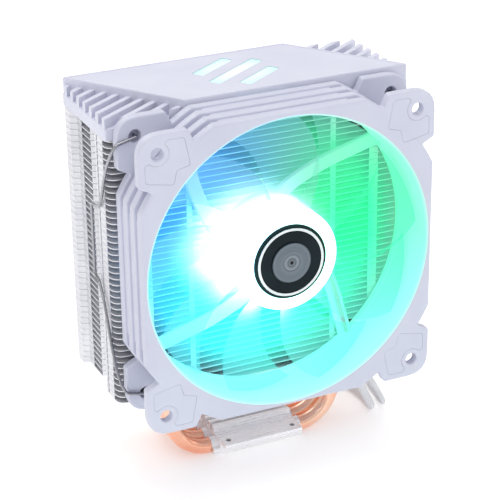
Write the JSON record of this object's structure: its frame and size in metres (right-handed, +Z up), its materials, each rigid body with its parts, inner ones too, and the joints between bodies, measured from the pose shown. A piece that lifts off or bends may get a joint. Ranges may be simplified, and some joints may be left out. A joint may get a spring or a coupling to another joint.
{
  "type": "cpu tower cooler",
  "caption": "Tower heatsink with U-shaped heat pipes, an edge-clipped square fan with a lit translucent rotor, a ribbed white top cover and coiled leads.",
  "frame": {"origin": "centre of the base's contact face, the face that rests on the processor", "axes": "+Z up through the tower, -Y the way the fan faces, +X to the right seen from the fan's side"},
  "size_m": [0.1509, 0.1313, 0.1565],
  "materials": {
    "base_aluminium": "machined, satin, fine tool lines",
    "copper": "bright polished copper, drawn tube",
    "fin_aluminium": "bright rolled sheet, thin edges",
    "cover_white": "satin white with a cool tint",
    "diffuser_white": "milky diffuser, lit from behind",
    "board_green": "solder mask, satin",
    "fan_white": "satin moulded white with a cool tint",
    "grommet_grey": "matt soft moulding",
    "pad_white": "matt white soft pad",
    "bearing_steel": "ground bright steel",
    "stator_steel": "stacked laminations",
    "winding_copper": "enamelled copper wire",
    "wire_grey": "matt insulation",
    "label_silver": "blank satin silver label",
    "rotor_frosted": "frosted translucent moulding, lit from the hub",
    "yoke_steel": "pressed dark steel",
    "magnet_black": "sintered black",
    "badge_dark": "dark gloss",
    "badge_silver": "bright bevelled ring",
    "badge_black": "black gloss",
    "badge_spun": "spun metal with circular lines",
    "clip_steel": "plated spring wire",
    "lead_sleeve": "pale cable sleeve",
    "plug_white": "moulded pale connector"
  },
  "bodies": {
    "cooler": {"base_block": "base_aluminium", "heat_pipe_1": "copper", "heat_pipe_2": "copper", "heat_pipe_3": "copper", "heat_pipe_4": "copper", "fin_stack": "fin_aluminium", "top_cover": "cover_white", "light_diffuser": "diffuser_white", "light_board": "board_green", "fan_frame": "fan_white", "lead_grommet": "grommet_grey", "front_pad_1": "pad_white", "front_pad_2": "pad_white", "front_pad_3": "pad_white", "front_pad_4": "pad_white", "rear_pad_1": "pad_white", "rear_pad_2": "pad_white", "rear_pad_3": "pad_white", "rear_pad_4": "pad_white", "motor_board": "board_green", "bearing_sleeve": "bearing_steel", "stator_core": "stator_steel", "stator_coil_1": "winding_copper", "stator_coil_2": "winding_copper", "stator_coil_3": "winding_copper", "stator_coil_4": "winding_copper", "motor_leads": "wire_grey", "rear_label": "label_silver", "fan_lead": "lead_sleeve", "fan_lead_coil": "lead_sleeve", "fan_lead_tail": "lead_sleeve", "fan_lead_plug": "plug_white", "light_lead": "lead_sleeve", "light_lead_coil": "lead_sleeve", "light_lead_tail": "lead_sleeve", "light_lead_plug": "plug_white"},
    "fan_rotor": {"impeller": "rotor_frosted", "rotor_yoke": "yoke_steel", "rotor_magnet": "magnet_black", "rotor_shaft": "bearing_steel", "badge_plate": "badge_dark", "badge_ring": "badge_silver", "badge_face": "badge_black", "badge_cap": "badge_spun"},
    "clip_left_wire": {"clip_left": "clip_steel"},
    "clip_right_wire": {"clip_right": "clip_steel"}
  },
  "joints": [
    {"name": "fan_spin", "type": "hinge", "parent": "cooler", "child": "fan_rotor", "pos_m": [0, -0.036, 0.095], "axis": [0, -1, 0], "continuous": true},
    {"name": "clip_left_swing", "type": "hinge", "parent": "cooler", "child": "clip_left_wire", "pos_m": [-0.0525, -0.026, 0.095], "axis": [0, 0, 1], "range_deg": [0, 25]},
    {"name": "clip_right_swing", "type": "hinge", "parent": "cooler", "child": "clip_right_wire", "pos_m": [0.0525, -0.026, 0.095], "axis": [0, 0, -1], "range_deg": [0, 25]}
  ]
}
